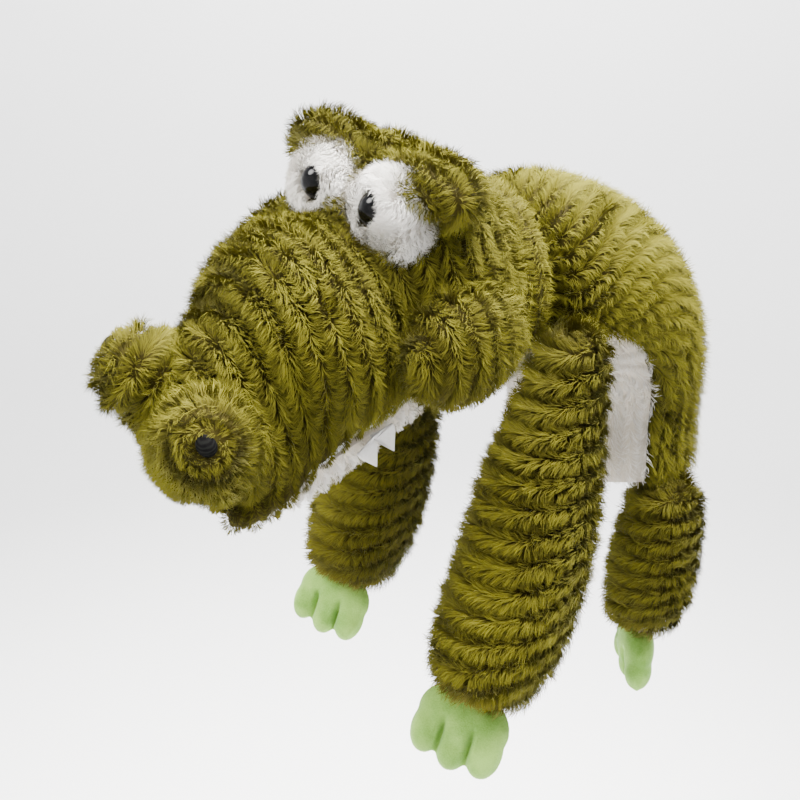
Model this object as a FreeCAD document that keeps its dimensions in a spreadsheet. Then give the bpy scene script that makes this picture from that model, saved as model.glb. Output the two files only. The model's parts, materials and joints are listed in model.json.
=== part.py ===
import FreeCAD, Part
import math
import os

# A crocodile hand puppet with a moving mouth, built as separate sewn and stuffed pieces.
# Frame: millimetres, +Z up. The origin is the middle of the open hem under the body, where the
# hand goes in. The puppet faces -Y and its left side is +X. The body is a bent sleeve: it rises
# from the hem, turns forwards through a right angle and ends at the neck.

Vector = FreeCAD.Vector
Rotation = FreeCAD.Rotation
Placement = FreeCAD.Placement
AXIS_X = Vector(1, 0, 0)
AXIS_Y = Vector(0, 1, 0)
AXIS_Z = Vector(0, 0, 1)

doc = FreeCAD.newDocument("CrocodilePuppet")
sheet = doc.addObject("Spreadsheet::Sheet", "Sizes")

# ---- driving dimensions, in millimetres and degrees
SIZES = {
    # cloth, wadding and clearance
    "plush": 3.5, "lining": 1.2, "velour": 1.6, "felt": 1.2, "gap": 0.5,
    # body sleeve: half widths and half depths of its rings, from the hem to the shoulders
    "bend_radius": 60, "skirt_height": 34,
    "hem_width": 46, "hem_depth": 40, "skirt_width": 50, "skirt_depth": 45,
    "rump_width": 54, "rump_depth": 49, "back_width": 57, "back_depth": 51,
    "chest_width": 56, "chest_depth": 50, "shoulder_width": 50, "shoulder_depth": 45,
    "rump_angle": 28, "back_angle": 55, "shoulder_face": 10,
    "wadding": 5, "belly_radius": 46, "hem_band": 9,
    # neck, around the point where the head turns and nods
    "neck_ahead": 28, "neck_rise": 3, "neck_tube": 38, "neck_overlap": 9,
    "cup_radius": 44.5, "band_outer": 44, "band_inner": 42, "band_front": 24, "band_back": 2,
    # head, in its own tilted frame with the neck point as zero
    "head_tilt": 20, "head_roll": 14, "tip_twist": 8,
    "skull_width": 57, "skull_length": 42, "skull_height": 49, "skull_ahead": 36, "skull_rise": 28,
    "bridge_width": 50, "bridge_length": 44, "bridge_height": 46, "bridge_ahead": 81, "bridge_rise": 19,
    "snout_width": 43, "snout_length": 56, "snout_height": 60, "snout_ahead": 100, "snout_drop": 14,
    "nape_ahead": 5, "nape_height": 48,
    "jowl_width": 18, "jowl_length": 28, "jowl_height": 25,
    "jowl_side": 55.5, "jowl_ahead": 52, "jowl_rise": 21,
    "brow_width": 23, "brow_length": 14, "brow_height": 12,
    "brow_side": 30.5, "brow_ahead": 35, "brow_rise": 73.5,
    "patch_width": 17, "patch_thick": 9, "patch_height": 17,
    "patch_side": 21, "patch_ahead": 52, "patch_rise": 62, "patch_lean": 25,
    "eye_radius": 7, "eye_side": 17.5, "eye_ahead": 57, "eye_rise": 66,
    "stem_radius": 2, "stem_length": 24, "washer_radius": 7, "washer_thick": 1.6, "washer_back": 20,
    "mound_width": 21, "mound_length": 19, "mound_height": 21,
    "mound_side": 21.5, "mound_ahead": 141, "mound_rise": 22.5,
    "nostril_radius": 4.5, "nostril_side": 37, "nostril_ahead": 147.5, "nostril_rise": 36,
    # mouth, in its own frame with the hinge as zero
    "hinge_ahead": 47, "hinge_rise": 6, "mouth_tilt": 12, "hinge_radius": 4, "hinge_length": 56,
    "seam": 0.25, "plate_thick": 2, "jaw_back": 5.2,
    "jaw_width": 41.5, "jaw_length": 64.5, "jaw_depth": 25, "jaw_ahead": 40,
    "tooth_base": 9, "tooth_drop": 10, "tooth_strip": 2.2, "tooth_side": 42.4, "tooth_start": 34,
    "finger_width": 31, "finger_height": 23, "finger_length": 84,
    "thumb_width": 15, "thumb_height": 9, "thumb_length": 54,
    # legs: joint points, lengths and radii from top to ankle
    "front_side": 54, "front_ahead": 78, "front_rise": 72, "front_drop": 131, "front_reach": 62,
    "front_ball": 15, "front_top": 18, "front_thigh": 24, "front_knee": 26.5, "front_calf": 27,
    "front_ankle": 21, "front_tilt": 28,
    "hind_side": 47, "hind_ahead": 2, "hind_rise": -13.5, "hind_drop": 62, "hind_reach": 8,
    "hind_ball": 12, "hind_top": 15, "hind_thigh": 18, "hind_knee": 20, "hind_calf": 19,
    "hind_ankle": 14, "hind_tilt": 2,
    "button_radius": 5, "socket_gap": 2.5,
    # feet
    "palm_width": 20, "palm_thick": 9, "palm_length": 15, "palm_drop": 14.5,
    "toe_width": 7.5, "toe_thick": 7, "toe_length": 11, "toe_spread": 12.5, "toe_drop": 25,
    "roll_radius": 2.5, "roll_length": 20, "foot_top": 2.2,
}
for row, (alias, value) in enumerate(SIZES.items(), start=1):
    sheet.set(f"A{row}", alias)
    sheet.set(f"B{row}", str(value))
    sheet.setAlias(f"B{row}", alias)
doc.recompute()


def size(alias):
    """The number in a cell of the sheet, for places worked out in code."""
    return float(sheet.get(alias))


def expression(text):
    """Turns 'skull_width - plush' into an expression that reads the sheet."""
    words = text.split()
    return " ".join("Sizes." + word if word in SIZES else word for word in words)


def bind(item, **values):
    for prop, text in values.items():
        item.setExpression(prop, expression(text))


# ---- basic shapes
def ellipsoid(name, words, centre, pose=Placement(), less="", turn=Rotation()):
    """An ellipsoid; words names its half sizes along X, Y and Z, each made smaller by less."""
    item = doc.addObject("Part::Ellipsoid", name)
    item.Angle1 = -90
    item.Angle2 = 90
    item.Angle3 = 360
    along_x, along_y, along_z = words
    bind(item, Radius2=f"{along_x} {less}", Radius3=f"{along_y} {less}", Radius1=f"{along_z} {less}")
    item.Placement = pose.multiply(Placement(centre, turn))
    return item


def sphere(name, radius, centre):
    item = doc.addObject("Part::Sphere", name)
    bind(item, Radius=radius)
    item.Placement = Placement(centre, Rotation())
    return item


def rod(name, radius, length, middle, pose=Placement(), turn=Rotation(AXIS_Y, 90)):
    """A cylinder centred on a point, lying along X unless turned."""
    item = doc.addObject("Part::Cylinder", name)
    bind(item, Radius=radius, Height=length)
    half = float(sheet.get(length)) / 2 if length in SIZES else 0
    item.Placement = pose.multiply(Placement(middle, turn)).multiply(
        Placement(Vector(0, 0, -half), Rotation()))
    return item


def block(name, low, high, pose=Placement()):
    """A box between two corners."""
    item = doc.addObject("Part::Box", name)
    item.Length = high.x - low.x
    item.Width = high.y - low.y
    item.Height = high.z - low.z
    item.Placement = pose.multiply(Placement(low, Rotation()))
    return item


def fuse(name, items):
    if len(items) == 1:
        return items[0]
    item = doc.addObject("Part::MultiFuse", name)
    item.Shapes = items
    return item


def cut(name, base, tools):
    item = doc.addObject("Part::Cut", name)
    item.Base = base
    item.Tool = fuse(name + "_tools", tools)
    return item


def common(name, first, second):
    item = doc.addObject("Part::Common", name)
    item.Base = first
    item.Tool = second
    return item


def loft(name, rings):
    item = doc.addObject("Part::Loft", name)
    item.Sections = rings
    item.Solid = True
    return item


SUBPARTS = []


def subpart(label, item):
    item.Label = label
    SUBPARTS.append(item)
    return item


SIDES = (("left", 1), ("right", -1))

# ---- places shared by several pieces
BEND = Vector(0, -size("bend_radius"), size("skirt_height"))
NECK = Vector(0, BEND.y - size("neck_ahead"), BEND.z + size("bend_radius") + size("neck_rise"))
HEAD = Placement(NECK, Rotation(AXIS_X, size("head_tilt")).multiply(Rotation(AXIS_Y, size("head_roll"))))
TIP = HEAD.multiply(Placement(Vector(0, 0, 0), Rotation(AXIS_Y, size("tip_twist"))))
MOUTH = HEAD.multiply(Placement(Vector(0, -size("hinge_ahead"), size("hinge_rise")),
                                Rotation(AXIS_X, size("mouth_tilt"))))


def leg_point(end, side):
    return Vector(side * size(end + "_side"), -size(end + "_ahead"), size(end + "_rise"))


# ---- body
def sleeve(name, less, front_inset):
    """The bent sleeve as one solid through oval rings; less shrinks every ring."""
    rings = []

    def ring(width, depth, centre, turn):
        item = doc.addObject("Part::Ellipse", f"{name}_ring{len(rings)}")
        bind(item, MajorRadius=f"{width} {less}", MinorRadius=f"{depth} {less}")
        item.Placement = Placement(centre, Rotation(AXIS_X, turn))
        rings.append(item)

    ring("hem_width", "hem_depth", Vector(0, 0, 0), 0)
    radius = size("bend_radius")
    for width, depth, angle in (("skirt_width", "skirt_depth", 0),
                                ("rump_width", "rump_depth", size("rump_angle")),
                                ("back_width", "back_depth", size("back_angle")),
                                ("chest_width", "chest_depth", 90)):
        turn = math.radians(angle)
        ring(width, depth, BEND + Vector(0, math.cos(turn), math.sin(turn)) * radius, angle)
    face = BEND + Vector(0, front_inset - size("shoulder_face"), radius)
    ring("shoulder_width", "shoulder_depth", face, 90)
    return loft(name, rings)


def neck_tube(name, radius, behind):
    """A cylinder that ends at the neck point and starts behind it."""
    item = doc.addObject("Part::Cylinder", name)
    bind(item, Radius=radius)
    item.Height = behind
    item.Placement = Placement(NECK + AXIS_Y * behind, Rotation(AXIS_X, 90))
    return item


def sockets(name):
    """Dents where the round tops of the front legs are gathered against the body."""
    return [sphere(f"{name}_{tag}", "front_ball + socket_gap", leg_point("front", side))
            for tag, side in SIDES]


def build_body():
    plush, wad, lining = size("plush"), size("wadding"), size("lining")
    outside = sleeve("skin_outside", "", 0)
    inside = sleeve("skin_inside", "- plush", plush)
    hand_outside = sleeve("hand_outside", "- plush - wadding", plush + wad)
    hand_inside = sleeve("hand_inside", "- plush - wadding - lining", plush + wad + lining)
    start = size("neck_ahead") - size("shoulder_face") + size("neck_overlap")
    tube_outside = neck_tube("tube_outside", "neck_tube", start)
    tube_middle = neck_tube("tube_middle", "neck_tube - plush", start + 30)
    tube_lining = neck_tube("tube_lining", "neck_tube - plush", start)
    tube_inside = neck_tube("tube_inside", "neck_tube - plush - lining", start + 30)

    half = 2 * size("back_width")
    front_zone = doc.addObject("Part::Cylinder", "belly_round")
    bind(front_zone, Radius="belly_radius", Height="4 * back_width")
    front_zone.Placement = Placement(BEND + Vector(-half, 0, 0), Rotation(AXIS_Y, 90))
    depth, reach = size("belly_radius"), 60
    skirt_zone = block("belly_skirt", Vector(-half, BEND.y - reach, -5), Vector(half, BEND.y + depth, BEND.z))
    chest_zone = block("belly_chest", Vector(-half, BEND.y - reach, -5), Vector(half, BEND.y, BEND.z + depth))
    belly_zone = fuse("belly_zone", [front_zone, skirt_zone, chest_zone])

    shell = cut("open_skin", outside, [inside, tube_middle])
    dented = cut("dented_skin", shell, sockets("skin_socket"))
    collar = cut("neck_collar", tube_outside, [tube_middle, outside])
    subpart("back_panel", fuse("back_and_collar", [cut("back_side", dented, [belly_zone]), collar]))
    subpart("belly_panel", common("belly_side", dented, belly_zone))

    low = Vector(-half, -half, -1)
    hem_zone = block("hem_zone", low, Vector(half, half, size("hem_band")))
    wadding = cut("wadding_open", inside, [hand_outside, hem_zone, tube_middle])
    subpart("body_wadding", cut("wadding_piece", wadding, sockets("wadding_socket")))
    hem = cut("hem_wall", inside, [hand_outside])
    subpart("hem_binding", common("hem_piece", hem, hem_zone))
    subpart("hand_lining", cut("lining_piece", hand_outside, [hand_inside, tube_middle]))
    subpart("neck_lining", cut("neck_lining_piece", tube_lining, [tube_inside]))


def build_neck():
    """A soft band round the neck, part of a ball, that carries the head."""
    ball = sphere("band_ball", "band_outer", NECK)
    hollow = sphere("band_hollow", "band_inner", NECK)
    shell = cut("band_shell", ball, [hollow])
    wide = 60
    for label, low_z, high_z in (("nape_band", 0, wide), ("throat_band", -wide, 0)):
        zone = block(label + "_zone", NECK + Vector(-wide, -size("band_front"), low_z),
                     NECK + Vector(wide, size("band_back"), high_z))
        subpart(label, common(label + "_piece", shell, zone))


# ---- head
def head_solid(name, less):
    """Skull, bridge and snout together, every half size made smaller by less."""
    skull = ellipsoid(name + "_skull", ("skull_width", "skull_length", "skull_height"),
                      Vector(0, -size("skull_ahead"), size("skull_rise")), HEAD, less)
    bridge = ellipsoid(name + "_bridge", ("bridge_width", "bridge_length", "bridge_height"),
                       Vector(0, -size("bridge_ahead"), size("bridge_rise")), HEAD, less)
    snout = ellipsoid(name + "_snout", ("snout_width", "snout_length", "snout_height"),
                      Vector(0, -size("snout_ahead"), -size("snout_drop")), HEAD, less)
    return fuse(name, [skull, bridge, snout])


def under(name, level):
    """Everything under a level of the mouth plane."""
    return block(name, Vector(-120, -240, level - 150), Vector(120, 120, level), MOUTH)


def over(name, level):
    """Everything over a level of the mouth plane."""
    return block(name, Vector(-120, -240, level), Vector(120, 120, level + 150), MOUTH)


def head_place(side, part):
    return Vector(side * size(part + "_side"), -size(part + "_ahead"), size(part + "_rise"))


def lump(name, part, side, pose=HEAD):
    words = (part + "_width", part + "_length", part + "_height")
    return ellipsoid(name, words, head_place(side, part), pose, "", Rotation(AXIS_Z, 90 - 90 * side))


def pocket(name, part, above):
    """A flattened glove finger, open at the back, sitting on or under a mouth plate."""
    level = above * (size("seam") + size("lining") + size("plate_thick"))
    words = (part + "_width", part + "_length", part + "_height")
    centre = Vector(0, 0, level)
    outside = ellipsoid(name + "_outside", words, centre, MOUTH)
    inside = ellipsoid(name + "_inside", words, centre, MOUTH, "- lining")
    return outside, inside, level


def eye_axis(side):
    """Outward direction of an eye in the head's frame."""
    centre = Vector(0, -size("skull_ahead"), size("skull_rise"))
    return head_place(side, "eye").sub(centre).normalize()


def eye_rod(name, side, radius, length, back):
    """A cylinder that starts behind the eye and runs into the head."""
    item = doc.addObject("Part::Cylinder", name)
    bind(item, Radius=radius, Height=length)
    start = head_place(side, "eye") - eye_axis(side) * back
    item.Placement = HEAD.multiply(Placement(start, Rotation(AXIS_Z, eye_axis(side) * -1)))
    return item


def build_head():
    plate, lining, seam = size("plate_thick"), size("lining"), size("seam")
    outside = head_solid("head_outside", "")
    inside = head_solid("head_inside", "- plush")
    cup = sphere("head_cup", "cup_radius", NECK)
    nape = block("nape_zone", Vector(-120, -size("nape_ahead"), -120),
                 Vector(120, 120, size("nape_height")), HEAD)
    hinge_room = rod("hinge_room", "hinge_radius + gap", "hinge_length", Vector(0, 0, 0), MOUTH)
    stems = [eye_rod("stem_room_" + tag, side, "stem_radius", "stem_length", 0) for tag, side in SIDES]
    washers = [eye_rod("washer_room_" + tag, side, "washer_radius", "washer_thick", size("washer_back"))
               for tag, side in SIDES]
    upper = cut("upper_head", outside, [under("below_lips", seam), cup, nape])
    eyes = [sphere("eye_ball_" + tag, "eye_radius", HEAD.multVec(head_place(side, "eye")))
            for tag, side in SIDES]
    subpart("head_skin", cut("head_skin_piece", upper, [inside] + stems + eyes))

    finger_outside, finger_inside, level = pocket("finger_pocket", "finger", 1)
    filling = cut("head_filling", inside, [under("below_plate", level), cup, nape, finger_outside])
    subpart("head_stuffing", cut("head_stuffing_piece", filling, stems + washers + eyes + [hinge_room]))
    subpart("finger_pocket", cut("finger_pocket_piece", finger_outside,
                                 [finger_inside, under("below_fingers", level), cup, hinge_room]))
    back = -size("jaw_back")
    lining_zone = block("upper_lining_zone", Vector(-90, -200, seam), Vector(90, back, seam + lining), MOUTH)
    subpart("upper_mouth_lining", common("upper_lining_piece", inside, lining_zone))
    plate_zone = block("upper_plate_zone", Vector(-90, -200, seam + lining),
                       Vector(90, back, seam + lining + plate), MOUTH)
    subpart("upper_mouth_plate", common("upper_plate_piece", inside, plate_zone))
    subpart("mouth_hinge", rod("mouth_hinge_roll", "hinge_radius", "hinge_length", Vector(0, 0, 0), MOUTH))

    for index, (tag, side) in enumerate(SIDES):
        subpart("jowl_" + tag, cut("jowl_piece_" + tag, lump("jowl_lump_" + tag, "jowl", side), [upper]))
        nostril = sphere("nostril_knot_" + tag, "nostril_radius", TIP.multVec(head_place(side, "nostril")))
        mound = cut("mound_piece_" + tag, lump("mound_lump_" + tag, "mound", side, TIP), [upper])
        subpart("nostril_mound_" + tag, cut("mound_open_" + tag, mound, [nostril]))
        knot = sphere("nostril_stitch_" + tag, "nostril_radius", TIP.multVec(head_place(side, "nostril")))
        subpart("nostril_stitch_" + tag, knot)
        tilt = Rotation(AXIS_X, -size("patch_lean"))
        patch = ellipsoid("patch_lump_" + tag, ("patch_width", "patch_thick", "patch_height"),
                          head_place(side, "patch"), HEAD, "", tilt)
        brow = lump("brow_lump_" + tag, "brow", side)
        subpart("eye_patch_" + tag, cut("patch_piece_" + tag, patch, [upper, brow, eyes[index], stems[index]]))
        brow_solid = lump("brow_solid_" + tag, "brow", side)
        subpart("brow_" + tag, cut("brow_piece_" + tag, brow_solid, [upper, eyes[index]]))
        ball = sphere("eye_dome_" + tag, "eye_radius", HEAD.multVec(head_place(side, "eye")))
        stem = eye_rod("eye_stem_" + tag, side, "stem_radius", "stem_length", 0)
        subpart("eye_" + tag, fuse("eye_piece_" + tag, [ball, stem]))
        washer = eye_rod("washer_disc_" + tag, side, "washer_radius", "washer_thick", size("washer_back"))
        hole = eye_rod("washer_hole_" + tag, side, "stem_radius", "stem_length", 0)
        subpart("eye_washer_" + tag, cut("washer_piece_" + tag, washer, [hole]))
        subpart("upper_teeth_" + tag, build_teeth(tag, side))


def build_teeth(tag, side):
    """Two felt triangles on a narrow strip that hangs inside the lip."""
    base, felt = size("tooth_base"), size("felt")
    level = size("seam")
    inner = side * size("tooth_side")
    near = min(inner, inner + side * felt)
    start = -size("tooth_start")
    strip = block("tooth_strip_" + tag, Vector(near, start - 2 * base, level - size("tooth_strip")),
                  Vector(near + felt, start, level), MOUTH)
    parts = [strip]
    for number in range(2):
        tooth = doc.addObject("Part::Wedge", f"tooth_{tag}_{number}")
        tooth.Xmin = 0
        tooth.Ymin = 0
        tooth.Zmin = 0
        bind(tooth, Xmax="tooth_base", Ymax="tooth_drop", Zmax="felt", Z2max="felt",
             X2min="tooth_base / 2 - 0.4", X2max="tooth_base / 2 + 0.4")
        tooth.Z2min = 0
        turn = Rotation(Vector(0, -1, 0), Vector(0, 0, -1), Vector(1, 0, 0), "XYZ")
        corner = Vector(near, start - number * base, level - size("tooth_strip") + 0.2)
        tooth.Placement = MOUTH.multiply(Placement(corner, turn))
        parts.append(tooth)
    return fuse("teeth_" + tag, parts)


def build_jaw():
    plate, lining, seam = size("plate_thick"), size("lining"), size("seam")
    words = ("jaw_width", "jaw_length", "jaw_depth")
    centre = Vector(0, -size("jaw_ahead"), 0)
    outside = ellipsoid("jaw_outside", words, centre, MOUTH)
    inside = ellipsoid("jaw_inside", words, centre, MOUTH, "- plush")
    back = block("jaw_back_zone", Vector(-90, -size("jaw_back"), -90), Vector(90, 90, 90), MOUTH)
    subpart("jaw_skin", cut("jaw_skin_piece", outside, [inside, over("above_jaw", -seam), back]))
    thumb_outside, thumb_inside, level = pocket("thumb_pocket", "thumb", -1)
    subpart("jaw_stuffing", cut("jaw_stuffing_piece", inside,
                                [over("above_jaw_plate", level), back, thumb_outside]))
    subpart("thumb_pocket", cut("thumb_pocket_piece", thumb_outside,
                                [thumb_inside, over("above_thumb", level), back]))
    rear = -size("jaw_back")
    lining_zone = block("lower_lining_zone", Vector(-90, -200, -seam - lining), Vector(90, rear, -seam), MOUTH)
    subpart("lower_mouth_lining", common("lower_lining_piece", inside, lining_zone))
    plate_zone = block("lower_plate_zone", Vector(-90, -200, -seam - lining - plate),
                       Vector(90, rear, -seam - lining), MOUTH)
    subpart("lower_mouth_plate", common("lower_plate_piece", inside, plate_zone))


# ---- legs and feet
def leg_solid(name, end, frame, reach, less, ankle_inset):
    """A stuffed leg: round rings along a bent line, with a ball at the top."""
    drop, tilt = size(end + "_drop"), size(end + "_tilt")
    rings = []
    for word, down, forward, lean in (("ball", 0.0, 0.0, 0.3), ("top", 0.16, 0.14, 0.5),
                                      ("thigh", 0.37, 0.30, 0.3), ("knee", 0.60, 0.44, 0.5),
                                      ("calf", 0.83, 0.70, 0.9), ("ankle", 1.0, 1.0, 1.0)):
        ring = doc.addObject("Part::Circle", f"{name}_{word}")
        tuck = "- 1" if word == "ball" else ""
        bind(ring, Radius=f"{end}_{word} {less} {tuck}")
        place = Placement(Vector(0, -forward * reach, -down * drop), Rotation(AXIS_X, -lean * tilt))
        inset = ankle_inset if word == "ankle" else 0
        ring.Placement = frame.multiply(place).multiply(Placement(Vector(0, 0, inset), Rotation()))
        rings.append(ring)
    ball = doc.addObject("Part::Sphere", name + "_round")
    bind(ball, Radius=f"{end}_ball {less}")
    ball.Placement = frame
    return fuse(name, [loft(name + "_loft", rings), ball])


def foot_solid(name, frame, less):
    """A flat palm with three toes."""
    palm = ellipsoid(name + "_palm", ("palm_width", "palm_thick", "palm_length"),
                     Vector(0, 0, -size("palm_drop")), frame, less)
    toes = [ellipsoid(f"{name}_toe{number}", ("toe_width", "toe_thick", "toe_length"),
                      Vector(number * size("toe_spread"), 0, -size("toe_drop") + abs(number) * 2), frame, less)
            for number in (-1, 0, 1)]
    return fuse(name, [palm] + toes)


def build_leg(end, tag, side, turn, lean, reach_factor, foot_turn):
    """One leg with its joint button, its foot and the soft roll the foot bends on."""
    label = f"{end}_{tag}"
    point = leg_point(end, side)
    frame = Placement(point, Rotation(AXIS_Y, lean).multiply(Rotation(AXIS_Z, turn)))
    reach = size(end + "_reach") * reach_factor
    outside = leg_solid(label + "_outside", end, frame, reach, "", 0)
    inside = leg_solid(label + "_inside", end, frame, reach, "- plush", size("plush"))
    subpart(label + "_leg_skin", cut(label + "_skin_piece", outside, [inside]))
    filling = leg_solid(label + "_filling", end, frame, reach, "- plush", size("plush"))
    room = sphere(label + "_button_room", "button_radius + gap", point)
    subpart(label + "_leg_stuffing", cut(label + "_stuffing_piece", filling, [room]))
    subpart(label + "_button", sphere(label + "_button_ball", "button_radius", point))

    ankle = frame.multiply(Placement(Vector(0, -reach, -size(end + "_drop")),
                                     Rotation(AXIS_X, -size(end + "_tilt"))))
    ankle = ankle.multiply(Placement(Vector(0, 0, 0), Rotation(AXIS_Z, foot_turn)))
    centre = Vector(0, 0, -size("roll_radius"))
    subpart(label + "_ankle_roll", rod(label + "_roll", "roll_radius", "roll_length", centre, ankle))
    room = rod(label + "_roll_room", "roll_radius + gap", "roll_length", centre, ankle)
    top = block(label + "_foot_top", Vector(-50, -50, -size("foot_top")), Vector(50, 50, 50), ankle)
    outer = foot_solid(label + "_foot_outside", ankle, "")
    inner = foot_solid(label + "_foot_inside", ankle, "- velour")
    ends = [block(f"{label}_roll_end{number}",
                  Vector(number * size("roll_length") / 2 - 0.5, -3, -5.5),
                  Vector(number * size("roll_length") / 2 + 0.5, 3, 0), ankle) for number in (-1, 1)]
    tools = [top, room] + ends
    subpart(label + "_foot_skin", cut(label + "_foot_skin_piece", outer, [inner] + tools))
    subpart(label + "_foot_stuffing", cut(label + "_foot_stuffing_piece", inner, tools))
    return ankle


build_body()
build_neck()
build_head()
build_jaw()
ANKLES = {
    "front_left": build_leg("front", "left", 1, 8, 2, 0.8, 25),
    "front_right": build_leg("front", "right", -1, 10, 7, 0.58, 20),
    "hind_left": build_leg("hind", "left", 1, -36, 4, 0.5, 0),
    "hind_right": build_leg("hind", "right", -1, -36, 0, 2.0, 0),
}
doc.recompute()

# ---- check every object, then write each piece to its own file
for item in doc.Objects:
    bad = [word for word in item.State if word in ("Invalid", "Error")]
    if bad:
        raise RuntimeError(f"{item.Name} did not compute: {bad}")
for item in SUBPARTS:
    shape = item.Shape
    if shape.isNull() or not shape.isValid():
        raise RuntimeError(f"{item.Label} has no valid shape")
    box = shape.BoundBox
    print(f"{item.Label}: solids {len(shape.Solids)}, volume {shape.Volume:.0f}, "
          f"x {box.XMin:.1f} to {box.XMax:.1f}, y {box.YMin:.1f} to {box.YMax:.1f}, "
          f"z {box.ZMin:.1f} to {box.ZMax:.1f}")
os.makedirs("parts", exist_ok=True)
for item in SUBPARTS:
    item.Shape.exportStep("parts/" + item.Label + ".step")
POSES = [("neck", Placement(NECK, Rotation())), ("head", HEAD), ("mouth", MOUTH)]
for label, place in POSES + sorted(ANKLES.items()):
    along = place.Rotation.multVec(AXIS_X)
    print(label, [round(v, 3) for v in place.Base], "x axis", [round(v, 4) for v in along])
print("pieces", len(SUBPARTS))
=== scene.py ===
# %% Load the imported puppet
import json
from math import cos, pi, radians, sin

import bmesh
import bpy
import numpy as np
from mathutils import Matrix, Vector


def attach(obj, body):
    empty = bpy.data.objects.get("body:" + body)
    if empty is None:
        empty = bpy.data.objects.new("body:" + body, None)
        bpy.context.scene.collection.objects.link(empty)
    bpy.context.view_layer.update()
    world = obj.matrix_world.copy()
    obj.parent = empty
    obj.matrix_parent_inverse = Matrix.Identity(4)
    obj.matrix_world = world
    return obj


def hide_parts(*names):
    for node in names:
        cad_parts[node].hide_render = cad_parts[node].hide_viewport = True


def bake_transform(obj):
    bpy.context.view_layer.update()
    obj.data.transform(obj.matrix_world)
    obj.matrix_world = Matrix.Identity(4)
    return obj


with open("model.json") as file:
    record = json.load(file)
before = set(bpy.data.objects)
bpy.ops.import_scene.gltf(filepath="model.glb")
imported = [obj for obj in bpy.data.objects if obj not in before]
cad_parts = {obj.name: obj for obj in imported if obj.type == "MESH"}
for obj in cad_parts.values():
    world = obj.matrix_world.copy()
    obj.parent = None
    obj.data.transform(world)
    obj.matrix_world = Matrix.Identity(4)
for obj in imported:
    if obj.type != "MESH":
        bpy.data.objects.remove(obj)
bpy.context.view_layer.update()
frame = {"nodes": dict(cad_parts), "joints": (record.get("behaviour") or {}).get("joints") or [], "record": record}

joints = {joint["name"]: joint for joint in frame["joints"]}
MM = 0.001

# %% [markdown]
# A soft toy is cut, sewn and stuffed in parts, and each part keeps its own directions: the snout
# points one way, a leg another. So every part gets a frame of its own. A frame here is a 4 by 4
# matrix that turns millimetres measured on the part into metres in the room. The joints of the
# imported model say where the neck, the mouth and the legs are, so nothing has to be fitted by eye.

# %% Frames of the head, the mouth and the legs
def frame_at(joint_name, *turns):
    """A frame at a joint, turned by (degrees, axis) steps, that takes millimetres."""
    place = Matrix.Translation(Vector(joints[joint_name]["pos_m"]))
    for degrees, axis in turns:
        place = place @ Matrix.Rotation(radians(degrees), 4, axis)
    return place @ Matrix.Scale(MM, 4)


BODY = Matrix.Scale(MM, 4)
HEAD = frame_at("head_nod", (20, "X"), (14, "Y"))
SNOUT_TIP = frame_at("head_nod", (20, "X"), (14 + 8, "Y"))
MOUTH = frame_at("jaw_open", (20, "X"), (14, "Y"), (12, "X"))
LEGS = {
    "front_left": frame_at("front_left_swing", (2, "Y"), (8, "Z")),
    "front_right": frame_at("front_right_swing", (7, "Y"), (10, "Z")),
    "hind_left": frame_at("hind_left_swing", (4, "Y"), (-36, "Z")),
    "hind_right": frame_at("hind_right_swing", (0, "Y"), (-36, "Z")),
}
print("frames for", ", ".join(LEGS))

# %% [markdown]
# Stuffed cloth has no flat sides and no sharp corners. A quick way to get such a form is to pile up
# a few stretched balls, let the voxel remesher melt them into one closed skin, and smooth the
# creases, much as wadding rounds out the corners of a sewn case. Modelling the same form from one
# cage would need a lot of careful edge flow for a surface that the pile hides anyway.

# %% Helpers that melt stretched balls into one stuffed skin
def add_lump(bm, place, centre, half_sizes, lean=0):
    """A stretched ball in a frame, in millimetres."""
    shape = (place @ Matrix.Translation(Vector(centre)) @ Matrix.Rotation(radians(lean), 4, "X")
             @ Matrix.Diagonal(Vector((*half_sizes, 1))))
    bmesh.ops.create_icosphere(bm, subdivisions=4, radius=1, matrix=shape)


def new_object(name, bm):
    mesh = bpy.data.meshes.new(name)
    bm.to_mesh(mesh)
    bm.free()
    piece = bpy.data.objects.new(name, mesh)
    bpy.context.scene.collection.objects.link(piece)
    return piece


def apply_modifiers(piece):
    """Turns what the modifiers show into the real mesh."""
    graph = bpy.context.evaluated_depsgraph_get()
    done = bpy.data.meshes.new_from_object(piece.evaluated_get(graph))
    piece.modifiers.clear()
    piece.data = done
    return piece


def melt(piece, voxel, rounds):
    """Voxel remesh and smoothing, applied."""
    remesh = piece.modifiers.new("melt", "REMESH")
    remesh.mode = "VOXEL"
    remesh.voxel_size = voxel * MM
    remesh.use_smooth_shade = True
    smooth = piece.modifiers.new("round", "SMOOTH")
    smooth.factor = 0.5
    smooth.iterations = rounds
    return apply_modifiers(piece)


def carve(piece, place, shape, low_or_centre, high_or_radius):
    """Cuts a block or a ball out of a piece."""
    bm = bmesh.new()
    if shape == "ball":
        bmesh.ops.create_icosphere(bm, subdivisions=4, radius=high_or_radius,
                                   matrix=Matrix.Translation(Vector(low_or_centre)))
    else:
        low, high = Vector(low_or_centre), Vector(high_or_radius)
        size = high - low
        bmesh.ops.create_cube(bm, size=1, matrix=Matrix.Translation((low + high) / 2)
                              @ Matrix.Diagonal(Vector((*size, 1))))
    bm.transform(place)
    tool = new_object("carving_tool", bm)
    cut = piece.modifiers.new("carve", "BOOLEAN")
    cut.operation = "DIFFERENCE"
    cut.solver = "EXACT"
    cut.object = tool
    apply_modifiers(piece)
    bpy.data.objects.remove(tool)
    return piece


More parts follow.
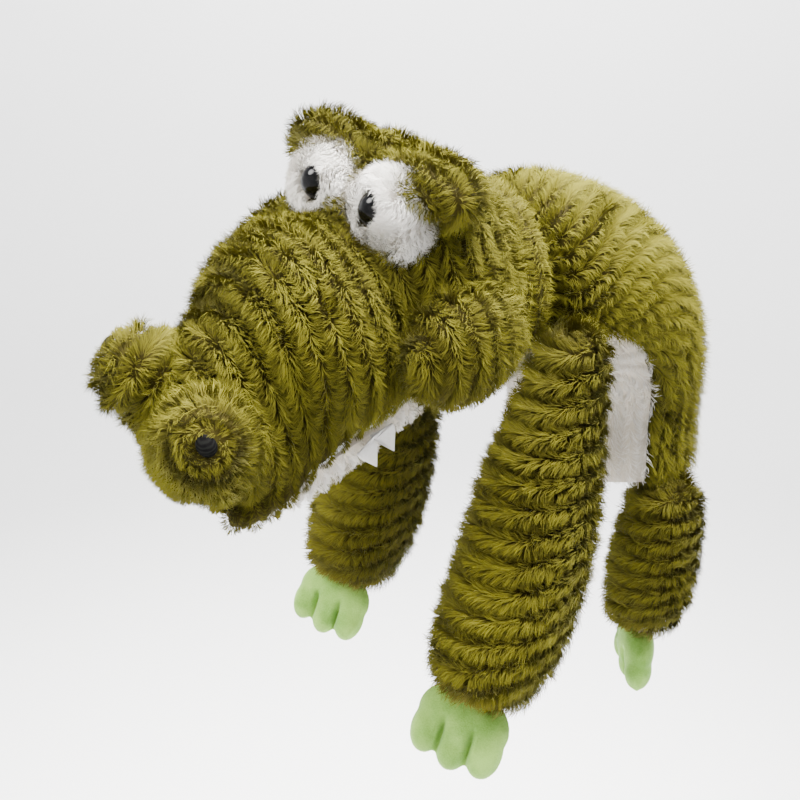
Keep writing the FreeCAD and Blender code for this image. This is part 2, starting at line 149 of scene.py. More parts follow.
# %% [markdown]
# Long pile is the whole character of this toy, and it can't be painted on: its tips break up the
# outline. Particle hair would look right but stays behind when the model is exported, so the pile
# is real geometry. One strand is a ribbon of three faces with a knee, made once, and it is planted
# over the skin many hundred thousand times. Two numbers ride along in a UV map: how light the tuft
# is, and how far a point is from root to tip, and the material reads its colours from those alone.

# %% One blade of pile
def blade_template():
    """Corners of one ribbon as (side, 0, ring number), and its faces."""
    bm = bmesh.new()
    strip = bmesh.ops.create_grid(bm, x_segments=1, y_segments=2, size=1)["verts"]
    bmesh.ops.translate(bm, vec=(0, 1, 0), verts=strip)
    top = [vert for vert in strip if vert.co.y > 1.5]
    bmesh.ops.pointmerge(bm, verts=top, merge_co=(0, 2, 0))
    bmesh.ops.rotate(bm, verts=bm.verts, cent=(0, 0, 0), matrix=Matrix.Rotation(radians(90), 3, "X"))
    bmesh.ops.triangulate(bm, faces=bm.faces)
    bm.verts.index_update()
    corners = np.array([tuple(vert.co) for vert in bm.verts])
    faces = np.array([[vert.index for vert in face.verts] for face in bm.faces])
    bm.free()
    return corners, faces


BLADE_CORNERS, BLADE_FACES = blade_template()
print("a blade has", len(BLADE_CORNERS), "corners and", len(BLADE_FACES), "faces")


# %% Helpers that read a skin and plant blades on it
def unit(vectors):
    return vectors / np.maximum(np.linalg.norm(vectors, axis=1, keepdims=True), 1e-9)


def scatter(skin, count, rng):
    """Random points on a skin, spread evenly by area, with the smooth normals there."""
    mesh = skin.data
    mesh.calc_loop_triangles()
    corners = np.empty(len(mesh.loop_triangles) * 3, np.int32)
    mesh.loop_triangles.foreach_get("vertices", corners)
    corners = corners.reshape(-1, 3)
    place = np.empty(len(mesh.vertices) * 3)
    mesh.vertices.foreach_get("co", place)
    place = place.reshape(-1, 3)
    normal = np.empty(len(mesh.vertices) * 3)
    mesh.vertices.foreach_get("normal", normal)
    normal = normal.reshape(-1, 3)
    a, b, c = (place[corners[:, k]] for k in range(3))
    area = np.linalg.norm(np.cross(b - a, c - a), axis=1)
    pick = np.searchsorted(np.cumsum(area) / area.sum(), (np.arange(count) + rng.random(count)) / count)
    pick = np.minimum(pick, len(area) - 1)
    first, second = rng.random(count), rng.random(count)
    over = first + second > 1
    first[over], second[over] = 1 - first[over], 1 - second[over]
    weights = np.stack([1 - first - second, first, second], 1)[:, :, None]
    points = (np.stack([a[pick], b[pick], c[pick]], 1) * weights).sum(1)
    normals = unit((np.stack([normal[corners[pick, k]] for k in range(3)], 1) * weights).sum(1))
    return points, normals


def ripple(points, scale, seed):
    """A smooth wandering value between -1 and 1, made of a few crossed waves."""
    rng = np.random.default_rng(seed)
    total = np.zeros(len(points))
    for _ in range(5):
        way = rng.normal(size=3) / scale
        total += np.sin(points @ way / MM + rng.random() * 6.3)
    return np.clip(total / 2.6, -1, 1)


def gather_tufts(points, tips, spacing, rng):
    """For each blade, the tip of the tuft it belongs to."""
    cell = np.floor(points / (spacing * MM) + ripple(points, 9, 3)[:, None] * 0.35).astype(np.int64)
    key = (cell[:, 0] * 73856093) ^ (cell[:, 1] * 19349663) ^ (cell[:, 2] * 83492791)
    _, group = np.unique(key, return_inverse=True)
    size = np.bincount(group).astype(float)
    middle = np.stack([np.bincount(group, tips[:, k]) / size for k in range(3)], 1)
    shade = rng.random(len(size))
    return middle[group], shade[group]


def plant_pile(skin, count, length, width, rows, seed, lift=1.0, tuft=3.4, droop=0.3, keep=None, tone_and_painted_shade=0.0,
               trim=None, slant=0.0, gather=0.42):
    """Adds pile to a skin. rows(points) gives, for each point, where it lies across its row of pile,
    from -0.5 to 0.5 with 0 on the ridge, and the direction that runs across the rows. trim(points)
    gives the share of the full length that the pile keeps, and slant lays it along its row."""
    rng = np.random.default_rng(seed)
    points, normals = scatter(skin, count, rng)
    if keep is not None:
        chosen = keep(points, normals)
        points, normals = points[chosen], normals[chosen]
    count = len(points)
    across, way = rows(points)
    way = unit(way - normals * (way * normals).sum(1)[:, None])
    along_row = np.cross(normals, way)
    ridge = 0.5 + 0.5 * np.cos(2 * pi * across)
    fall = np.tile([0.0, 0.0, -1.0], (count, 1))
    fall -= normals * (fall * normals).sum(1)[:, None]
    side = np.clip(across * 4, -1, 1)[:, None]
    stray = rng.normal(size=(count, 3)) * 0.27
    wander = 0.5 * ripple(points, 6, seed + 5)[:, None] * along_row
    grow = length * MM * (0.6 + 0.4 * ridge) * (0.7 + 0.5 * rng.random(count))
    if trim is not None:
        grow = grow * trim(points)
    grow = grow[:, None]
    root = points + normals * (ridge[:, None] * 2.0 - 0.6) * MM
    low = unit(normals * lift + way * side * 0.35 + fall * droop * 0.4 + stray * 0.4 + along_row * slant * 0.5)
    high = unit(normals * lift * 0.4 + way * side * 0.8 + fall * droop + stray + wander + along_row * slant)
    knee = root + low * grow * 0.5
    tip = knee + high * grow * 0.5
    middle, shade = gather_tufts(points, tip, tuft, rng)
    knee = knee + (middle - tip) * gather * 0.25
    tip = tip + (middle - tip) * gather

    spine = np.stack([root, knee, tip], 1)
    ribbon_side = unit(np.cross(unit(tip - root), normals + stray))
    thick = width * MM * (0.8 + 0.4 * rng.random(count))
    stage = np.rint(BLADE_CORNERS[:, 2]).astype(int)
    corners = (spine[:, stage]
               + (thick[:, None] * BLADE_CORNERS[:, 0][None])[:, :, None] * ribbon_side[:, None])
    face_way = unit(np.cross(ribbon_side, tip - root))
    face_way *= np.sign((face_way * normals).sum(1) + 1e-9)[:, None]
    shine = unit(normals * 0.5 + face_way * 0.5)
    # Tufts on a row's ridge are lighter and those in its valleys darker: painted shade between the rows. The
    # per-tuft, per-blade and slow-wave terms vary the tone at random.
    light = 0.10 + 0.44 * ridge + 0.14 * shade + 0.30 * rng.random(count) + 0.10 * ripple(points, 22, seed + 1)
    # The piece's offset lifts the white cloths to their own tone and darkens the green head and legs as painted
    # shade.
    light = np.clip(light + tone_and_painted_shade, 0.02, 0.98)
    return corners, light, stage, shine


def add_pile(skin, *plantings):
    """Joins the planted blades to the skin's own mesh and writes the OFBake map for both."""
    base = skin.data
    bare = len(base.vertices)
    place, facing = np.empty(bare * 3), np.empty(bare * 3)
    base.vertices.foreach_get("co", place)
    base.vertices.foreach_get("normal", facing)
    base.calc_loop_triangles()
    own = np.empty(len(base.loop_triangles) * 3, np.int32)
    base.loop_triangles.foreach_get("vertices", own)
    all_points = [place.reshape(-1, 3)]
    all_facing = [facing.reshape(-1, 3)]
    all_faces = [own.reshape(-1, 3)]
    # The bare skin under the blades takes the dark root colour: painted shade in the gaps of the pile.
    all_light = [np.full(bare, 0.2)]
    all_height = [np.full(bare, 0.05)]
    start = bare
    for corners, light, stage, shine in plantings:
        blades = len(corners)
        size = len(BLADE_CORNERS)
        all_points.append(corners.reshape(-1, 3))
        all_facing.append(np.repeat(shine, size, axis=0))
        shift = start + np.arange(blades)[:, None, None] * size
        all_faces.append((BLADE_FACES[None] + shift).reshape(-1, 3))
        all_light.append(np.repeat(light, size))
        all_height.append(np.tile(np.array([0.08, 0.5, 0.97])[stage], blades))
        start += blades * size
    points, faces = np.concatenate(all_points), np.concatenate(all_faces)
    facing = np.concatenate(all_facing)
    flat = np.cross(points[faces[:, 1]] - points[faces[:, 0]], points[faces[:, 2]] - points[faces[:, 0]])
    wrong = (flat * facing[faces].sum(1)).sum(1) < 0
    wrong[:len(all_faces[0])] = False
    faces[wrong] = faces[wrong][:, ::-1]
    light, height = np.concatenate(all_light), np.concatenate(all_height)
    mesh = bpy.data.meshes.new(skin.name)
    mesh.vertices.add(len(points))
    mesh.vertices.foreach_set("co", points.ravel())
    mesh.loops.add(len(faces) * 3)
    mesh.loops.foreach_set("vertex_index", faces.ravel().astype(np.int32))
    mesh.polygons.add(len(faces))
    mesh.polygons.foreach_set("loop_start", np.arange(0, len(faces) * 3, 3, dtype=np.int32))
    mesh.polygons.foreach_set("use_smooth", np.ones(len(faces), bool))
    mesh.update(calc_edges=True)
    mesh.normals_split_custom_set_from_vertices(facing)
    uv = mesh.uv_layers.new(name="OFBake")
    pair = np.stack([light[faces.ravel()], height[faces.ravel()]], 1)
    uv.data.foreach_set("uv", pair.ravel())
    skin.data = mesh
    print(skin.name, "has", (len(points) - bare) // len(BLADE_CORNERS), "blades and", len(faces), "triangles")
    return skin


# %% [markdown]
# A material is a small graph. Written out node by node it is hard to read, so two helpers make it
# read like sums: Maths wraps a socket, and adding or multiplying two of them adds the Math node.

# %% Material helpers
class Maths:
    """A node socket that can be used in an expression."""

    def __init__(self, paint, socket):
        self.paint, self.socket = paint, socket

    def _do(self, operation, first, second):
        return self.paint.add("ShaderNodeMath", {"operation": operation}, {0: first, 1: second})

    def __add__(self, other):
        return self._do("ADD", self, other)

    __radd__ = __add__

    def __mul__(self, other):
        return self._do("MULTIPLY", self, other)

    __rmul__ = __mul__

    def __sub__(self, other):
        return self._do("SUBTRACT", self, other)

    def __rsub__(self, other):
        return self._do("SUBTRACT", other, self)

    def power(self, other):
        return self._do("POWER", self, other)


class Paint:
    """One material and the nodes in it."""

    def __init__(self, name):
        self.material = bpy.data.materials.new(name)
        self.material.use_nodes = True
        self.tree = self.material.node_tree
        self.shader = self.tree.nodes["Principled BSDF"]

    def add(self, kind, settings=(), inputs=(), output=0):
        node = self.tree.nodes.new(kind)
        for key, value in dict(settings).items():
            if key == "stops":
                ramp = node.color_ramp
                while len(ramp.elements) < len(value):
                    ramp.elements.new(0.5)
                for element, (position, colour) in zip(ramp.elements, value):
                    element.position = position
                    element.color = (*colour, 1)
            else:
                setattr(node, key, value)
        for key, value in dict(inputs).items():
            if isinstance(value, Maths):
                self.tree.links.new(value.socket, node.inputs[key])
            else:
                node.inputs[key].default_value = value
        return Maths(self, node.outputs[output])

    def finish(self, **values):
        for key, value in values.items():
            socket = self.shader.inputs[key.replace("_", " ").title().replace("Ior", "IOR")]
            if isinstance(value, Maths):
                self.tree.links.new(value.socket, socket)
            else:
                socket.default_value = value
        return self.material


def pile_material(name, root_dark, root_light, tip_dark, tip_light, sheen, sheen_tint, gloss):
    """Pile whose colour depends only on the tuft's lightness and the way from root to tip."""
    paint = Paint(name)
    place = paint.add("ShaderNodeUVMap", {"uv_map": "OFBake"})
    light = paint.add("ShaderNodeSeparateXYZ", {}, {0: place}, 0)
    height = paint.add("ShaderNodeSeparateXYZ", {}, {0: place}, 1)
    # The roots take darker colours than the tips: painted shade deep in the pile.
    root = paint.add("ShaderNodeMix", {"data_type": "RGBA"}, {0: light, 6: (*root_dark, 1), 7: (*root_light, 1)}, 2)
    tip = paint.add("ShaderNodeMix", {"data_type": "RGBA"}, {0: light, 6: (*tip_dark, 1), 7: (*tip_light, 1)}, 2)
    colour = paint.add("ShaderNodeMix", {"data_type": "RGBA"}, {0: height.power(0.8), 6: root, 7: tip}, 2)
    return paint.finish(base_color=colour, roughness=0.78, sheen_weight=sheen, sheen_roughness=0.5,
                        sheen_tint=(*sheen_tint, 1), specular_ior_level=gloss)


# Green and white pile both darken from tip to root, which is painted shade deep in the pile.
GREEN_PILE = pile_material("green_pile", (0.022, 0.016, 0.001), (0.058, 0.046, 0.002),
                           (0.070, 0.061, 0.003), (0.26, 0.243, 0.020), 0.06, (0.9, 0.85, 0.3), 0.12)
WHITE_PILE = pile_material("white_pile", (0.68, 0.60, 0.48), (0.86, 0.80, 0.70),
                           (0.92, 0.88, 0.80), (0.98, 0.96, 0.92), 0.2, (1, 0.97, 0.92), 0.2)
print("pile materials ready")

# %% [markdown]
# The head is one sewn case: skull, bridge of the nose and snout run into each other, two jowls hang
# beside the mouth, two brows bulge over the eyes and two mounds sit at the end of the snout. The
# lips are where the case is cut along the plane of the mouth, and the back of the head is hollow
# like a cup, because it turns over the ball of the neck and a hand goes through it.

# %% The skin of the head
def both_sides(bm, place, centre, half_sizes, lean=0):
    x, y, z = centre
    for side in (1, -1):
        add_lump(bm, place, (side * x, y, z), half_sizes, lean)


bm = bmesh.new()
add_lump(bm, HEAD, (0, -36, 28), (52, 38, 44.5))
add_lump(bm, HEAD, (0, -81, 19), (45.5, 39, 41.5))
add_lump(bm, HEAD, (0, -100, -14), (40.8, 53.8, 57.8))
add_lump(bm, SNOUT_TIP, (0, -127, 4), (36, 24, 27))
both_sides(bm, SNOUT_TIP, (22.5, -143, 24), (16, 13.5, 16))
head = melt(new_object("head_fur", bm), 2.6, 3)
carve(head, MOUTH, "block", (-120, -240, -150), (120, 120, 1.5))
head_rim = np.array([tuple(vert.co) for vert in head.data.vertices])
bm = bmesh.new()
bm.from_mesh(head.data)
both_sides(bm, HEAD, (54, -51, 21), (14.5, 23, 20.5))
both_sides(bm, MOUTH, (29.5, -82, 0), (8.5, 21, 6))
add_lump(bm, MOUTH, (0, -94, 3), (24, 11, 5))
both_sides(bm, HEAD, (28.0, -37, 71.5), (22, 12, 8))
add_lump(bm, HEAD, (0, -33, 70), (16, 11, 7))
bm.to_mesh(head.data)
bm.free()
melt(head, 2.6, 6)
carve(head, HEAD, "block", (-130, -5, -130), (130, 130, 48))
neck_place = Matrix.Translation(Vector(joints["neck_turn"]["pos_m"]))
carve(head, neck_place, "ball", (0, 0, 0), 44.8 * MM)
print("head skin", len(head.data.vertices), "points")

# %% [markdown]
# The cloth has its pile in rows. On the snout the rows run round it like hoops, and on the mounds
# they close into rings round each nostril. For any point this needs two answers: how far it lies
# across its row, and which way runs across the rows. The blades on both slopes of a row lean away
# from its ridge, and that parting is what makes the rows readable.

# %% Rows of pile
def wrap(turns):
    """Distance to the nearest whole number, from -0.5 to 0.5."""
    return turns - np.round(turns)


def to_local(place, points):
    inverse = np.array(place.inverted())
    return points @ inverse[:3, :3].T + inverse[:3, 3]


def to_world_way(place, ways):
    return unit(ways @ np.array(place.to_3x3().normalized()).T)


def head_rows(points):
    local = to_local(HEAD, points)
    turns = (-local[:, 1] + 0.25 * local[:, 2]) / 7.2 + 0.22 * ripple(points, 16, 11)
    way = np.tile([0.0, -1.0, 0.25], (len(points), 1))
    tip = to_local(SNOUT_TIP, points)
    for side in (1, -1):
        spot = np.array([side * 35.0, -149.5, 37.5])
        away = tip - spot
        far = np.linalg.norm(away, axis=1)
        near = far < 30
        swirl = np.arctan2(away[:, 2], away[:, 1]) / (2 * pi)
        turns = np.where(near, far / 7.0 + swirl, turns)
        way = np.where(near[:, None], away, way)
    return wrap(turns), to_world_way(HEAD, way)


def off_the_eye_patches(points, normals):
    local = to_local(HEAD, points)
    clear = np.ones(len(points), bool)
    for side in (1, -1):
        gap = (local - np.array([side * 18.5, -50.0, 61.5])) / np.array([17.0, 12.0, 13.0])
        clear &= (gap ** 2).sum(1) > 1
    return clear


def short_at_the_lips(points):
    """Clipped short along the seam of the mouth and near the eyes, so that neither is buried."""
    mouth = to_local(MOUTH, points)
    eyes = to_local(HEAD, points)
    lips = np.clip(mouth[:, 2] / 14, 0.42, 1)
    tip = to_local(SNOUT_TIP, points)
    nearest = np.full(len(points), 99.0)
    for side in (1, -1):
        nearest = np.minimum(nearest, np.linalg.norm(eyes - np.array([side * 18.0, -52.0, 60.0]), axis=1))
        nearest = np.minimum(nearest, 3 + 1.6 * np.linalg.norm(tip - np.array([side * 34.6, -149.0, 37.0]), axis=1))
    return lips * np.clip((nearest - 4) / 22, 0.3, 1)


# The head's pile is set darker than the back's: painted shade on sides that face away from the lamp overhead.
add_pile(head, plant_pile(head, 175000, 8.4, 0.13, head_rows, 21, tuft=2.3, droop=0.2, tone_and_painted_shade=-0.24, keep=off_the_eye_patches,
                          trim=short_at_the_lips, slant=0.25))
head.data.materials.append(GREEN_PILE)
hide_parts("head_skin", "head_stuffing", "jowl_left", "jowl_right", "brow_left", "brow_right",
            "nostril_mound_left", "nostril_mound_right")
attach(head, "head")


# %% [markdown]
# The body is a bent sleeve. Its skin is a row of oval rings joined by a bridge of faces, the way a
# tailor joins hoops: up from the hem, forwards round the bend, and in towards the neck.

# %% The skin of the body
def hoop(bm, place, half_width, half_depth, corners=56):
    rim = bmesh.ops.create_circle(bm, segments=corners, radius=1,
                                  matrix=place @ Matrix.Diagonal(Vector((half_width, half_depth, 1, 1))))
    return list({edge for vert in rim["verts"] for edge in vert.link_edges})


def join_hoops(bm, hoops):
    for lower, upper in zip(hoops, hoops[1:]):
        bmesh.ops.bridge_loops(bm, edges=lower + upper)


def bend_place(angle, extra=0):
    """A ring's place at an angle round the bend of the body, or beyond its end."""
    turn = radians(angle)
    centre = Vector((0, -60 + 60 * cos(turn) - extra, 34 + 60 * sin(turn)))
    return BODY @ Matrix.Translation(centre) @ Matrix.Rotation(turn, 4, "X")


def smooth_between(value, places, sizes):
    return float(np.interp(value, places, sizes))


def body_hoops(bm, inset):
    """The hoops of the sleeve, each made smaller by inset, and by less of it at the hem."""
    hoops = []
    for height, share in ((0, 0.1), (10, 0.25), (22, 0.8)):
        wide = smooth_between(height, (0, 34), (46, 50)) - inset * share
        deep = smooth_between(height, (0, 34), (40.5, 45)) - inset * share
        hoops.append(hoop(bm, BODY @ Matrix.Translation(Vector((0, 0, height))), wide, deep))
    for angle in range(0, 91, 10):
        wide = smooth_between(angle, (0, 30, 70, 80, 90), (50, 54.4, 58.4, 58.4, 56.8)) - inset
        deep = smooth_between(angle, (0, 30, 50, 90), (45, 49.4, 51, 50.2)) - inset
        hoops.append(hoop(bm, bend_place(angle), wide, deep))
    for ahead, wide, deep in ((5, 54, 48.5), (9, 51, 46), (10, 48, 44), (10.3, 43.5, 42)):
        hoops.append(hoop(bm, bend_place(90, ahead), wide - inset, deep - inset))
    hoops.append(hoop(bm, bend_place(90, 27), 37, 37))
    hoops.append(hoop(bm, bend_place(90, 44), 36.5, 36.5))
    return hoops


bm = bmesh.new()
join_hoops(bm, body_hoops(bm, 5.0))
bmesh.ops.recalc_face_normals(bm, faces=bm.faces)
body = new_object("body_fur", bm)
thick = body.modifiers.new("cloth", "SOLIDIFY")
thick.thickness = 1.2 * MM
thick.offset = -1
finer = body.modifiers.new("finer", "SUBSURF")
finer.levels = 1
finer.render_levels = 1
apply_modifiers(body)
for side in ("left", "right"):
    carve(body, frame_at(f"front_{side}_swing"), "ball", (0, 0, 0), 17.4)
print("body skin", len(body.data.vertices), "points")


# %% Rows on the body
def body_turns(points):
    """Angle round the bend in degrees, and distance from the bend's axis, in millimetres."""
    local = points / MM
    up, back = local[:, 2] - 34, local[:, 1] + 60
    angle = np.degrees(np.arctan2(up, back))
    return local, angle, np.hypot(up, back)


def body_rows(points):
    """Rows run along the sleeve, and climb from the shoulders towards the ridge of the back."""
    local, angle, _ = body_turns(points)
    turn = np.radians(np.clip(angle, 0, 90))
    below = local[:, 2] < 34
    outward = np.stack([0 * turn, np.cos(turn), np.sin(turn)], 1)
    outward[below] = [0.0, 1.0, 0.0]
    middle = np.stack([0 * turn, -60 + 60 * np.cos(turn), 34 + 60 * np.sin(turn)], 1)
    middle[below] = np.stack([0 * turn, 0 * turn, local[:, 2]], 1)[below]
    ahead = local[:, 1] < -60
    middle[ahead] = np.stack([0 * turn, local[:, 1], 0 * turn + 94], 1)[ahead]
    rise = ((local - middle) * outward).sum(1)
    from_spine = np.arctan2(np.abs(local[:, 0]), rise)
    forward = np.clip((60 + angle) / 60 - 1.0, 0, 1.6)
    turns = from_spine * 52 / 9.0 - 2.6 * forward ** 2 + 0.2 * ripple(points, 20, 12)
    tangent = np.stack([np.sign(local[:, 0]), 0 * turn, 0 * turn], 1)
    way = tangent * np.cos(from_spine)[:, None] - outward * np.sin(from_spine)[:, None]
    return wrap(turns), unit(way)


def on_the_belly(points):
    local, _, reach = body_turns(points)
    low_front = (local[:, 2] < 34) & (local[:, 1] < -14)
    return (reach < 46) & (local[:, 2] >= 34) | low_front


def faces_out(points, normals):
    """True on the outer face of the sleeve's cloth, away from its middle line."""
    local, angle, _ = body_turns(points)
    turn = np.radians(np.clip(angle, 0, 90))
    middle = np.stack([0 * turn, -60 + 60 * np.cos(turn), 34 + 60 * np.sin(turn)], 1)
    below = local[:, 2] < 34
    middle[below] = np.stack([0 * turn, 0 * turn, local[:, 2]], 1)[below]
    ahead = local[:, 1] < -60
    middle[ahead] = np.stack([0 * turn, local[:, 1], 0 * turn + 94], 1)[ahead]
    return ((local - middle) * normals).sum(1) > 0


def back_keep(points, normals):
    local = points / MM
    return faces_out(points, normals) & ~on_the_belly(points) & (local[:, 1] > -101) & (local[:, 2] > 0.3)


def belly_keep(points, normals):
    local = points / MM
    return faces_out(points, normals) & on_the_belly(points) & (local[:, 1] > -101) & (local[:, 2] > 1)


def short_at_the_collar(points):
    """Clipped short where the collar slides inside the ball of the neck."""
    return np.clip((points[:, 1] / MM + 82) / 14, 0.22, 1)


# %% [markdown]
# Green back and white belly are two cloths sewn edge to edge. They are cut from one skin here: each
# half keeps its own faces, its own pile and its own material, and both ride on the body. The belly
# cloth is a short plush, so its blades are a third as long and stand closer.

# %% Split the skin, plant the pile
def keep_faces(piece, test, name):
    """A copy of a piece with only the faces whose middles pass the test."""
    bm = bmesh.new()
    bm.from_mesh(piece.data)
    middles = np.array([tuple(face.calc_center_median()) for face in bm.faces])
    passed = test(middles)
    bmesh.ops.delete(bm, geom=[face for face, ok in zip(bm.faces, passed) if not ok], context="FACES")
    return new_object(name, bm)


belly = keep_faces(body, on_the_belly, "belly_plush")
back = keep_faces(body, lambda points: ~on_the_belly(points), "back_fur")
add_pile(back, plant_pile(body, 240000, 9.4, 0.14, body_rows, 31, tuft=2.6, tone_and_painted_shade=-0.04, keep=back_keep,
                          trim=short_at_the_collar, slant=0.35))
back.data.materials.append(GREEN_PILE)
add_pile(belly, plant_pile(body, 110000, 6.5, 0.14, body_rows, 32, tuft=3.0, keep=belly_keep, tone_and_painted_shade=0.15,
                           trim=short_at_the_collar))
belly.data.materials.append(WHITE_PILE)
bpy.data.objects.remove(body)
for piece, node, slot in ((back, "back_panel", "green_plush"), (belly, "belly_panel", "white_plush")):
    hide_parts(node)
    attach(piece, "body")
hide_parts("body_wadding")

# %% [markdown]
# A leg is a long stuffed sock with a bend in it, sewn shut over the foot. It is made like the body,
# from hoops along a bent line, and the two ends are closed by smaller and smaller hoops. The cloth
# is wound so that the rows of pile run round the leg.

# %% Legs
LEG_LINE = {
    "front": (131, (15, 18, 24, 26.5, 27, 21), 28),
    "hind": (62, (17, 18.5, 19.5, 20, 19, 14.5), 2),
}
STEPS = ((0.0, 0.0, 0.3), (0.16, 0.14, 0.5), (0.37, 0.30, 0.3), (0.60, 0.44, 0.5), (0.83, 0.70, 0.9), (1.0, 1.0, 1.0))
REACH = {"front_left": 62 * 0.8, "front_right": 62 * 0.58, "hind_left": 4, "hind_right": 16}


def leg_at(name, part):
    """Middle, radius and lean of the leg a part of the way down, in its own frame."""
    drop, radii, tilt = LEG_LINE[name.split("_")[0]]
    downs = [step[0] for step in STEPS]
    forward = np.interp(part, downs, [step[1] for step in STEPS]) * REACH[name]
    lean = np.interp(part, downs, [step[2] for step in STEPS]) * tilt
    radius = np.interp(part, downs, radii)
    return Vector((0, -forward, -part * drop)), float(radius), float(lean)


def leg_skin(name):
    inset = 3.8 if name.startswith("front") else 3.0
    bm = bmesh.new()
    hoops = []
    _, top, _ = leg_at(name, 0)
    for turn in (84, 66, 46, 24):
        ring = LEGS[name] @ Matrix.Translation(Vector((0, 0, (top - inset) * sin(radians(turn)))))
        share = cos(radians(turn)) ** 0.6
        hoops.append(hoop(bm, ring, (top - inset) * share, (top - inset) * share, 40))
    for part in np.linspace(0, 1, 15):
        middle, radius, lean = leg_at(name, part)
        ring = LEGS[name] @ Matrix.Translation(middle) @ Matrix.Rotation(radians(-lean), 4, "X")
        hoops.append(hoop(bm, ring, radius - inset, radius - inset, 40))
    middle, radius, lean = leg_at(name, 1)
    end = LEGS[name] @ Matrix.Translation(middle) @ Matrix.Rotation(radians(-lean), 4, "X")
    for down, share in ((1.0, 0.85), (1.6, 0.6), (1.9, 0.3)):
        hoops.append(hoop(bm, end @ Matrix.Translation(Vector((0, 0, 1.9 - down))),
                          (radius - inset) * share, (radius - inset) * share, 40))
    join_hoops(bm, hoops)
    bmesh.ops.holes_fill(bm, edges=bm.edges)
    bmesh.ops.recalc_face_normals(bm, faces=bm.faces)
    skin = new_object(name + "_fur", bm)
    round_off = skin.modifiers.new("round", "SMOOTH")
    round_off.factor = 0.5
    round_off.iterations = 4
    finer = skin.modifiers.new("finer", "SUBSURF")
    finer.levels = 1
    finer.render_levels = 1
    return apply_modifiers(skin)


def leg_rows(name):
    def rows(points):
        local = to_local(LEGS[name], points)
        turns = (local[:, 2] - 0.35 * local[:, 1]) / 8.6 + 0.2 * ripple(points, 18, 13)
        way = np.tile([0.0, -0.3, 1.0], (len(points), 1))
        return wrap(turns), to_world_way(LEGS[name], way)
    return rows


for number, name in enumerate(LEGS):
    leg = leg_skin(name)
    front = name.startswith("front")
    blades = 64000 if front else 27000
    # The legs' pile is set darker than the back's, painted shade on sides that face away from the lamp overhead; the
    # far front leg, front_right, is darker still, a painted shadow under the head.
    add_pile(leg, plant_pile(leg, blades, 9.5 if front else 8.5, 0.15, leg_rows(name), 41 + number,
                              slant=0.5, tone_and_painted_shade=-0.42 if name == "front_right" else -0.26))
    leg.data.materials.append(GREEN_PILE)
    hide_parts(name + "_leg_skin", name + "_leg_stuffing")
    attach(leg, name + "_leg")

# %% [markdown]
# The feet are flat cushions of smooth velour with three toes. The cloth is pulled in between the
# toes by a line of stitches that runs a little way up the foot, and a seam goes round the edge.
# The toes and palm are melted into one form, then the valleys are pressed in where the stitches are.

# %% Feet
FOOT_TURN = {"front_left": 25, "front_right": 20, "hind_left": 0, "hind_right": 0}


def foot_place(name):
    middle, _, lean = leg_at(name, 1)
    return (LEGS[name] @ Matrix.Translation(middle) @ Matrix.Rotation(radians(-lean), 4, "X")
            @ Matrix.Rotation(radians(FOOT_TURN[name]), 4, "Z"))


def press_toes(piece, place):
    """Presses two stitched valleys between the toes and a fine seam round the edge."""
    count = len(piece.data.vertices)
    points = np.empty(count * 3)
    piece.data.vertices.foreach_get("co", points)
    local = to_local(place, points.reshape(-1, 3))
    low = np.clip((-13 - local[:, 2]) / 8, 0, 1)
    for side in (-1, 1):
        near = np.exp(-((local[:, 0] - side * 6.3) / 1.2) ** 2) * low
        local[:, 1] *= 1 - 0.7 * near
    edge = np.exp(-(local[:, 1] / 0.9) ** 2)
    outward = unit(local - np.array([0.0, 0.0, -15.0]))
    local += outward * (edge * 0.5)[:, None]
    matrix = np.array(place)
    points = local @ matrix[:3, :3].T + matrix[:3, 3]
    piece.data.vertices.foreach_set("co", points.ravel())
    piece.data.update()


def velour_material(name, deep, pale):
    """Short pile lies in drifts: paler where it is brushed up, darker where it is brushed flat."""
    paint = Paint(name)
    place = paint.add("ShaderNodeTexCoord", {}, {}, 3)
    drift = paint.add("ShaderNodeTexNoise", {}, {"Vector": place, "Scale": 70.0, "Detail": 3.0})
    grain = paint.add("ShaderNodeTexNoise", {}, {"Vector": place, "Scale": 1500.0, "Detail": 2.0})
    mixed = drift * 0.75 + grain * 0.25
    colour = paint.add("ShaderNodeValToRGB", {"stops": ((0.36, deep), (0.64, pale))}, {0: mixed})
    bump = paint.add("ShaderNodeBump", {}, {"Strength": 0.35, "Distance": 0.0006, "Height": grain + drift * 0.5})
    return paint.finish(base_color=colour, roughness=0.85, normal=bump, sheen_weight=0.35, sheen_roughness=0.4,
                        sheen_tint=(0.75, 1.0, 0.6, 1), specular_ior_level=0.2)


VELOUR = velour_material("lime_velour", (0.15, 0.31, 0.045), (0.30, 0.51, 0.10))
for name in LEGS:
    place = foot_place(name)
    bm = bmesh.new()
    add_lump(bm, place, (0, 0, -14.5), (19.4, 8.4, 14.4))
    for number in (-1, 0, 1):
        add_lump(bm, place, (12.5 * number, 0, -25 + 2 * abs(number)), (7.2, 6.6, 10.6))
    foot = melt(new_object(name + "_foot", bm), 1.0, 6)
    carve(foot, place, "block", (-50, -50, -2.2), (50, 50, 50))
    press_toes(foot, place)
    foot.data.materials.append(VELOUR)
    for polygon in foot.data.polygons:
        polygon.use_smooth = True
    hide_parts(name + "_foot_skin", name + "_foot_stuffing")
    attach(foot, name + "_foot")
    print(name, "foot", len(foot.data.polygons), "faces")

# %% [markdown]
# The lower jaw is a shallow white cushion under the lips. It is half of a melted ball, cut along the
# plane of the mouth, with short white plush below. The throat and nape are bands of the same cloths
# that lie over the ball of the neck, so that no gap opens when the head turns.

